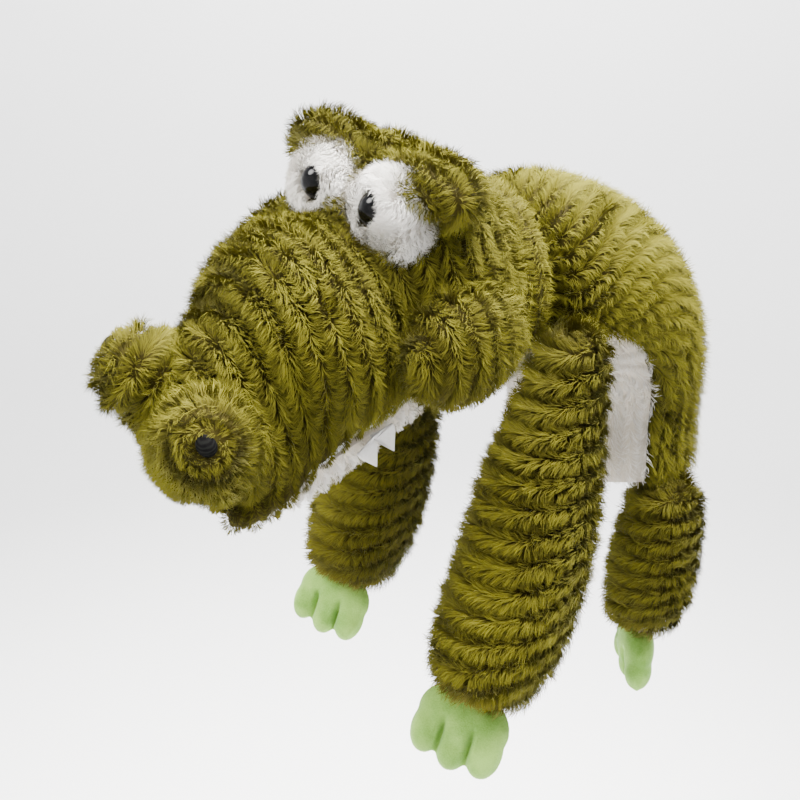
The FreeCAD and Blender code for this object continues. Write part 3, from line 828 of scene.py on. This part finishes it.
# %% Jaw, throat and nape
bm = bmesh.new()
add_lump(bm, MOUTH, (0, -40, 0), (40.5, 63.5, 24))
both_sides(bm, MOUTH, (23, -20, -7), (14.5, 22, 12.5))
both_sides(bm, MOUTH, (26, -52, -7), (10, 38, 8.5))
jaw = melt(new_object("jaw_plush", bm), 2.0, 3)
carve(jaw, MOUTH, "block", (-90, -200, -0.3), (90, 90, 90))
carve(jaw, MOUTH, "block", (-90, -5.4, -90), (90, 90, 90))


jaw_rim = np.array([tuple(vert.co) for vert in jaw.data.vertices])


def jaw_rows(points):
    local = to_local(MOUTH, points)
    way = np.tile([0.0, -1.0, 0.0], (len(points), 1))
    return wrap(-local[:, 1] / 6 + 0.3 * ripple(points, 9, 14)), to_world_way(MOUTH, way)


def jaw_keep(points, normals):
    local = to_local(MOUTH, points)
    return (local[:, 2] < -0.8) & (local[:, 1] < -6)


add_pile(jaw, plant_pile(jaw, 34000, 3.6, 0.15, jaw_rows, 51, tuft=2.4, keep=jaw_keep, tone_and_painted_shade=0.2))
jaw.data.materials.append(WHITE_PILE)
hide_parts("jaw_skin", "jaw_stuffing")
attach(jaw, "jaw")


bm = bmesh.new()
add_lump(bm, MOUTH, (0, 4, 0), (42, 30, 20))
both_sides(bm, MOUTH, (26, 2, -7), (16.5, 24, 13))
gusset = melt(new_object("throat_gusset", bm), 2.0, 3)
carve(gusset, MOUTH, "block", (-90, -90, 0.6), (90, 90, 90))
carve(gusset, MOUTH, "block", (-90, -90, -90), (90, -5.0, 90))
carve(gusset, neck_place, "ball", (0, 0, 0), 44.2 * MM)


def gusset_keep(points, normals):
    local = to_local(MOUTH, points)
    from_neck = np.linalg.norm(points - np.array(joints["neck_turn"]["pos_m"]), axis=1)
    return (local[:, 2] < 0.2) & (local[:, 1] > -4.6) & (from_neck > 44.6 * MM)


add_pile(gusset, plant_pile(gusset, 12000, 4.6, 0.15, jaw_rows, 52, tuft=2.4, keep=gusset_keep, tone_and_painted_shade=0.2))
gusset.data.materials.append(WHITE_PILE)
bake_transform(gusset)


def neck_band(name, node, material, sign, blades, length, seed):
    """Half of a round band over the ball of the neck, with its own pile."""
    bm = bmesh.new()
    hoops = []
    for ahead in (24, 18, 12, 6, 0, -2):
        radius = (43.4 ** 2 - ahead ** 2) ** 0.5
        ring = neck_place @ Matrix.Scale(MM, 4) @ Matrix.Translation(Vector((0, -ahead, 0)))
        hoops.append(hoop(bm, ring @ Matrix.Rotation(radians(90), 4, "X"), radius, radius))
    join_hoops(bm, hoops)
    middle = Vector(joints["neck_turn"]["pos_m"])
    seam_height = middle + Vector((0, 0, -22 * MM))
    bmesh.ops.bisect_plane(bm, geom=bm.verts[:] + bm.edges[:] + bm.faces[:], plane_co=seam_height,
                           plane_no=(0, 0, -sign), clear_outer=True)
    bmesh.ops.recalc_face_normals(bm, faces=bm.faces)
    probe = bm.faces[:][0]
    if (probe.calc_center_median() - middle).dot(probe.normal) < 0:
        bmesh.ops.reverse_faces(bm, faces=bm.faces)
    band = new_object(name, bm)
    cloth = band.modifiers.new("cloth", "SOLIDIFY")
    cloth.thickness = 1.2 * MM
    cloth.offset = -1
    apply_modifiers(band)

    def rows(points):
        away = (points - np.array(middle)) / MM
        way = np.tile([0.0, 1.0, 0.0], (len(points), 1))
        return wrap(away[:, 1] / 7.5), way

    def keep(points, normals):
        return ((points - np.array(middle)) * normals).sum(1) > 0

    add_pile(band, plant_pile(band, blades, length, 0.15, rows, seed, keep=keep, lift=0.6))
    band.data.materials.append(material)
    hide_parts(node)
    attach(band, "neck")


neck_band("nape_fur", "nape_band", GREEN_PILE, 1, 20000, 7, 61)
neck_band("throat_plush", "throat_band", WHITE_PILE, -1, 14000, 4, 62)

# %% [markdown]
# Round each eye a patch of longer, straight white fur is let into the green. The fur starts close to
# the eye and is combed outwards from it, so the blades here follow a star and not rows.

# %% Eye patches
def patch_skin(name, side):
    bm = bmesh.new()
    add_lump(bm, HEAD, (side * 19.5, -49, 62), (16.5, 7.5, 14.5), -25)
    add_lump(bm, HEAD, (side * 7.5, -50, 64), (8, 6, 8), -25)
    patch = melt(new_object(name, bm), 1.6, 2)
    return patch


def star_rows(side):
    def rows(points):
        local = to_local(HEAD, points)
        away = local - np.array([side * 17.5, -53.5, 66.0])
        return 0.18 * ripple(points, 5, 15), to_world_way(HEAD, unit(away) + np.array([0.0, 0.0, -0.3]))
    return rows


def patch_keep(side):
    def keep(points, normals):
        local = to_local(HEAD, points)
        away = local - np.array([side * 17.5, -53.5, 66.0])
        return np.linalg.norm(away, axis=1) > 6.5
    return keep


for side, tag in ((1, "left"), (-1, "right")):
    patch = patch_skin("eye_patch_fur_" + tag, side)
    add_pile(patch, plant_pile(patch, 20000, 6.0, 0.12, star_rows(side), 71 + side, tuft=1.8, lift=0.5,
                               keep=patch_keep(side), tone_and_painted_shade=0.2))
    patch.data.materials.append(WHITE_PILE)
    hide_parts("eye_patch_" + tag)
    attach(patch, "head")

# %% [markdown]
# The eyes are glossy black domes on stems, pushed through the cloth and locked by a washer inside.
# A dome is a half circle of edges spun round the eye's own axis, with a rounded rim, then smoothed.

# %% Eyes
def gloss_material(name):
    paint = Paint(name)
    place = paint.add("ShaderNodeTexCoord", {}, {}, 3)
    haze = paint.add("ShaderNodeTexNoise", {}, {"Vector": place, "Scale": 260.0, "Detail": 4.0})
    return paint.finish(base_color=(0.003, 0.003, 0.0035, 1), roughness=haze * 0.06 + 0.04,
                        specular_ior_level=0.22)


BLACK_GLOSS = gloss_material("black_gloss")


def eye_dome(name, middle, outward):
    """A dome of 7 mm radius whose rim is a little sunk in the fur."""
    bm = bmesh.new()
    steps = [bm.verts.new((7 * sin(radians(turn)), 0, 7.4 * cos(radians(turn)))) for turn in range(0, 121, 8)]
    steps.append(bm.verts.new((2.0, 0, -5.5)))
    steps.append(bm.verts.new((2.0, 0, -16)))
    steps.append(bm.verts.new((0, 0, -16)))
    edges = [bm.edges.new(pair) for pair in zip(steps, steps[1:])]
    bmesh.ops.spin(bm, geom=steps + edges, cent=(0, 0, 0), axis=(0, 0, 1), angle=2 * pi, steps=40,
                   use_merge=True)
    bmesh.ops.remove_doubles(bm, verts=bm.verts, dist=0.01)
    bmesh.ops.recalc_face_normals(bm, faces=bm.faces)
    for face in bm.faces:
        face.smooth = True
    turn = Vector((0, 0, 1)).rotation_difference(outward).to_matrix().to_4x4()
    bm.transform(Matrix.Translation(middle) @ turn @ Matrix.Scale(MM, 4))
    return new_object(name, bm)


for side, tag in ((1, "left"), (-1, "right")):
    middle = HEAD @ Vector((side * 17.5, -53.5, 66.0))
    outward = (HEAD.to_3x3() @ Vector((side * 17.0, -21, 38))).normalized()
    dome = eye_dome("eye_dome_" + tag, middle, outward)
    dome.data.materials.append(BLACK_GLOSS)
    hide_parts("eye_" + tag)
    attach(dome, "head")

# %% [markdown]
# Each nostril is a small spot of black satin stitch: a low pad of thread. A flattened ball carries
# fine ridges, which a wave texture draws as bump, since thread this thin is not worth modelling.

# %% Nostrils and teeth
def thread_material(name, dark, light):
    paint = Paint(name)
    place = paint.add("ShaderNodeTexCoord", {}, {}, 3)
    lie = paint.add("ShaderNodeMapping", {}, {"Vector": place, "Rotation": (0.3, 0.5, 0.7)})
    wave = paint.add("ShaderNodeTexWave", {"wave_type": "BANDS"}, {"Vector": lie, "Scale": 500.0, "Distortion": 2.0})
    colour = paint.add("ShaderNodeValToRGB", {"stops": ((0.2, dark), (0.9, light))}, {0: wave})
    bump = paint.add("ShaderNodeBump", {}, {"Strength": 0.15, "Distance": 0.0001, "Height": wave})
    return paint.finish(base_color=colour, roughness=0.85, normal=bump, specular_ior_level=0.06)


BLACK_THREAD = thread_material("black_satin_stitch", (0.003, 0.003, 0.003), (0.010, 0.010, 0.009))
for side, tag in ((1, "left"), (-1, "right")):
    bm = bmesh.new()
    outward = (SNOUT_TIP.to_3x3() @ Vector((side * 12, -8, 12.5))).normalized()
    middle = SNOUT_TIP @ Vector((side * 33.2, -147.8, 35.2))
    lie = Vector((0, 0, 1)).rotation_difference(outward).to_matrix().to_4x4()
    add_lump(bm, Matrix.Translation(middle) @ lie @ Matrix.Scale(MM, 4), (0, 0, 0), (3.9, 3.4, 1.3))
    stitch = new_object("nostril_thread_" + tag, bm)
    for polygon in stitch.data.polygons:
        polygon.use_smooth = True
    stitch.data.materials.append(BLACK_THREAD)
    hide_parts("nostril_stitch_" + tag)
    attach(stitch, "head")


def felt_material(name, low, high, scale):
    paint = Paint(name)
    place = paint.add("ShaderNodeTexCoord", {}, {}, 3)
    fibre = paint.add("ShaderNodeTexNoise", {}, {"Vector": place, "Scale": scale, "Detail": 6.0, "Roughness": 0.7})
    colour = paint.add("ShaderNodeValToRGB", {"stops": ((0.3, low), (0.7, high))}, {0: fibre})
    bump = paint.add("ShaderNodeBump", {}, {"Strength": 0.5, "Distance": 0.0004, "Height": fibre})
    return paint.finish(base_color=colour, roughness=0.9, normal=bump, sheen_weight=0.3, specular_ior_level=0.2)


WHITE_FELT = felt_material("white_felt", (0.80, 0.77, 0.72), (0.93, 0.92, 0.89), 900.0)


def tooth_row(name, side):
    """Two felt triangles with soft edges on a strip behind the lip."""
    bm = bmesh.new()
    across = side * 43.8
    for number in range(2):
        start = -34 - 9 * number
        corners = [bm.verts.new((across, y, z)) for y, z in
                   ((start, 0), (start - 0.4, -3), (start - 4.5, -12.4), (start - 8.6, -3), (start - 9, 0))]
        bm.faces.new(corners)
    bmesh.ops.remove_doubles(bm, verts=bm.verts, dist=0.05)
    bmesh.ops.solidify(bm, geom=bm.faces[:], thickness=1.5)
    bmesh.ops.recalc_face_normals(bm, faces=bm.faces)
    bmesh.ops.bevel(bm, geom=bm.edges[:], offset=0.45, segments=2, profile=0.5, affect="EDGES", material=-1)
    for face in bm.faces:
        face.smooth = True
    bm.transform(MOUTH)
    return new_object(name, bm)


for side, tag in ((1, "left"), (-1, "right")):
    row = tooth_row("felt_teeth_" + tag, side)
    row.data.materials.append(WHITE_FELT)
    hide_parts("upper_teeth_" + tag)
    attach(row, "head")

# %% [markdown]
# The inside of the mouth is two sheets of felt, one glued to each stiff plate. Each is cut to the
# shape of its lip, so the half width is read off the skin it is sewn to, slice by slice. The felt is
# glued at the rim and loose in the middle, so it lies in low waves.

# %% Felt in the mouth
def lip_outline(skin_points, slices):
    """Half width of a skin at the plane of the mouth, for slices along the snout."""
    local = to_local(MOUTH, skin_points)
    local = local[np.abs(local[:, 2]) < 2.2]
    return [max(2.0, np.abs(local[np.abs(local[:, 1] - y) < 2.5, 0]).max(initial=0)) for y in slices]


def mouth_felt(name, points, level, thickness, seed):
    local = to_local(MOUTH, points)
    front = local[np.abs(local[:, 2]) < 2.2, 1].min() + 7.0
    slices = np.linspace(-5.6, front, 44)
    half = np.array(lip_outline(points, slices)) - 4.5
    half = np.minimum(half, 5 + 4.2 * np.sqrt(np.maximum(slices - front, 0) * 9))
    bm = bmesh.new()
    bmesh.ops.create_grid(bm, x_segments=28, y_segments=43, size=1)
    for vert in bm.verts:
        place = (1 - vert.co.y) / 2 * 43
        across = vert.co.x * float(np.interp(place, range(44), half))
        vert.co = (across, float(np.interp(place, range(44), slices)), 0)
    bmesh.ops.recalc_face_normals(bm, faces=bm.faces)
    area = sum(face.calc_area() for face in bm.faces) * MM * MM
    flat = (2 * float(half.max()) * MM, float(slices[0] - slices[-1]) * MM)
    for vert in bm.verts:
        wave = sin(vert.co.y / 7 + sin(vert.co.x / 11 + seed) * 1.5) * sin(vert.co.x / 9 + seed)
        vert.co.z = level + thickness * 0.25 * wave
    shell = bmesh.ops.solidify(bm, geom=bm.faces[:], thickness=thickness)
    bmesh.ops.recalc_face_normals(bm, faces=bm.faces)
    for face in bm.faces:
        face.smooth = True
    bm.transform(MOUTH)
    print(name, "flat", [round(side, 4) for side in flat], "area", round(area, 5), len(shell["geom"]))
    return new_object(name, bm), flat, area


MOUTH_FELT = felt_material("mouth_felt_soft", (0.30, 0.055, 0.05), (0.46, 0.11, 0.10), 700.0)
for name, node, points, level, plate, seed, owner in (
        ("mouth_felt_upper", "upper_mouth_lining", head_rim, 0.75, "upper_mouth_plate", 1.0, "head"),
        ("mouth_felt_lower", "lower_mouth_lining", jaw_rim, -0.75, "lower_mouth_plate", 2.0, "jaw")):
    felt, flat, area = mouth_felt(name, points, level, 0.7, seed)
    felt.data.materials.append(MOUTH_FELT)
    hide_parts(node)
    min(area, flat[0] * flat[1])
    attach(felt, owner)

# %% [markdown]
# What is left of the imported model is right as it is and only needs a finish: the linings and the
# tape at the hem, the mouth's cloth and its stiff plates, and the plastic discs inside the joints.

# %% Finishes for the pieces that stay
def woven_material(name, low, high, scale):
    paint = Paint(name)
    place = paint.add("ShaderNodeTexCoord", {}, {}, 3)
    warp = paint.add("ShaderNodeTexWave", {"bands_direction": "X"}, {"Vector": place, "Scale": scale})
    weft = paint.add("ShaderNodeTexWave", {"bands_direction": "Z"}, {"Vector": place, "Scale": scale})
    slub = paint.add("ShaderNodeTexNoise", {}, {"Vector": place, "Scale": scale * 0.4, "Detail": 3.0})
    weave = warp * weft * 0.6 + slub * 0.4
    colour = paint.add("ShaderNodeValToRGB", {"stops": ((0.15, low), (0.75, high))}, {0: weave})
    bump = paint.add("ShaderNodeBump", {}, {"Strength": 0.4, "Distance": 0.0003, "Height": weave})
    return paint.finish(base_color=colour, roughness=0.88, normal=bump, sheen_weight=0.15)


def moulded_material(name, low, high):
    paint = Paint(name)
    place = paint.add("ShaderNodeTexCoord", {}, {}, 3)
    grain = paint.add("ShaderNodeTexNoise", {}, {"Vector": place, "Scale": 300.0, "Detail": 3.0})
    colour = paint.add("ShaderNodeValToRGB", {"stops": ((0.3, low), (0.7, high))}, {0: grain})
    bump = paint.add("ShaderNodeBump", {}, {"Strength": 0.15, "Distance": 0.0002, "Height": grain})
    return paint.finish(base_color=colour, roughness=grain * 0.2 + 0.35, normal=bump)


FINISHES = {
    "lining_cloth": woven_material("lining_weave", (0.62, 0.60, 0.55), (0.82, 0.80, 0.76), 420.0),
    "binding": woven_material("tape_weave", (0.66, 0.63, 0.57), (0.86, 0.84, 0.79), 600.0),
    "mouth_cloth": felt_material("mouth_felt", (0.30, 0.055, 0.05), (0.46, 0.11, 0.10), 700.0),
    "wadding": felt_material("fibre_filling", (0.80, 0.80, 0.79), (0.93, 0.93, 0.92), 200.0),
    "stiffener": moulded_material("stiffener_sheet", (0.72, 0.72, 0.70), (0.84, 0.84, 0.82)),
    "washer_plastic": moulded_material("washer_grain", (0.66, 0.66, 0.64), (0.80, 0.80, 0.78)),
}
slots = {part["node"]: part["material_slot"] for part in frame["record"]["subparts"]}
for node, shape in frame["nodes"].items():
    if slots[node] in FINISHES:
        shape.data.materials.clear()
        shape.data.materials.append(FINISHES[slots[node]])
print("finished", sum(slots[node] in FINISHES for node in frame["nodes"]), "pieces that stay")

# %% [markdown]
# The toy is held up in a bright, soft room. One wide lamp overhead makes the form, a weaker one from
# the front opens the shadows, one more lights the backdrop, and a pale world fills the rest. The floor lies well
# below and curves up far behind, so no line of horizon crosses the view.

# %% Floor, light and camera
def pale_material(name):
    paint = Paint(name)
    place = paint.add("ShaderNodeTexCoord", {}, {}, 3)
    cloud = paint.add("ShaderNodeTexNoise", {}, {"Vector": place, "Scale": 2.0, "Detail": 2.0})
    colour = paint.add("ShaderNodeValToRGB", {"stops": ((0.3, (0.92, 0.92, 0.92)), (0.7, (0.94, 0.94, 0.94)))},
                       {0: cloud})
    return paint.finish(base_color=colour, roughness=0.95, specular_ior_level=0.1)


bm = bmesh.new()
profile = [bm.verts.new((reach, 0, -0.45 + 4.0 * max(0, (reach - 1.2) / 1.6) ** 2)) for reach in
           (0.001, 0.6, 1.2, 1.5, 1.8, 2.1, 2.4, 2.6, 2.8)]
edges = [bm.edges.new(pair) for pair in zip(profile, profile[1:])]
bmesh.ops.spin(bm, geom=profile + edges, cent=(0, 0, 0), axis=(0, 0, 1), angle=2 * pi, steps=72, use_merge=True)
bmesh.ops.recalc_face_normals(bm, faces=bm.faces)
for face in bm.faces:
    face.smooth = True
floor = new_object("pale_floor", bm)
floor.data.materials.append(pale_material("pale_paper"))

world = bpy.data.worlds.new("soft_room")
bpy.context.scene.world = world
world.use_nodes = True
world.node_tree.nodes["Background"].inputs["Color"].default_value = (0.93, 0.95, 1.0, 1)
world.node_tree.nodes["Background"].inputs["Strength"].default_value = 0.25


def soft_lamp(name, where, size, power, colour, spread=180, target=(0.0, -0.08, 0.05)):
    lamp = bpy.data.lights.new(name, "AREA")
    lamp.shape = "DISK"
    lamp.size = size
    lamp.energy = power
    lamp.color = colour
    lamp.spread = radians(spread)
    holder = bpy.data.objects.new(name, lamp)
    holder.location = where
    aim = Vector(target) - Vector(where)
    holder.rotation_euler = aim.to_track_quat("-Z", "Y").to_euler()
    bpy.context.scene.collection.objects.link(holder)


soft_lamp("ceiling", (0.25, 0.25, 1.7), 1.0, 25, (1.0, 0.99, 0.97), 50)
soft_lamp("window", (-0.3, -1.2, 1.4), 1.0, 9, (1.0, 0.99, 0.96), 60)
soft_lamp("backdrop", (-0.7, 0.55, 1.5), 0.8, 88, (1.0, 1.0, 1.0), 180, (-1.9, 1.4, -0.2))

camera = bpy.data.cameras.new("camera")
camera.lens = 42.75
camera.sensor_width = 36
camera.clip_start = 0.01
viewer = bpy.data.objects.new("camera", camera)
azimuth, elevation = radians(54), radians(17)
back_way = Vector((sin(azimuth) * cos(elevation), -cos(azimuth) * cos(elevation), sin(elevation)))
viewer.location = (0.3134, -0.3526, 0.1689)
viewer.rotation_euler = back_way.to_track_quat("Z", "Y").to_euler()
bpy.context.scene.collection.objects.link(viewer)
bpy.context.scene.camera = viewer

# %% Write the sizes
shown = [item for item in bpy.data.objects if item.type == "MESH" and not item.hide_render]
print("triangles shown", sum(len(polygon.vertices) - 2 for item in shown for polygon in item.data.polygons))
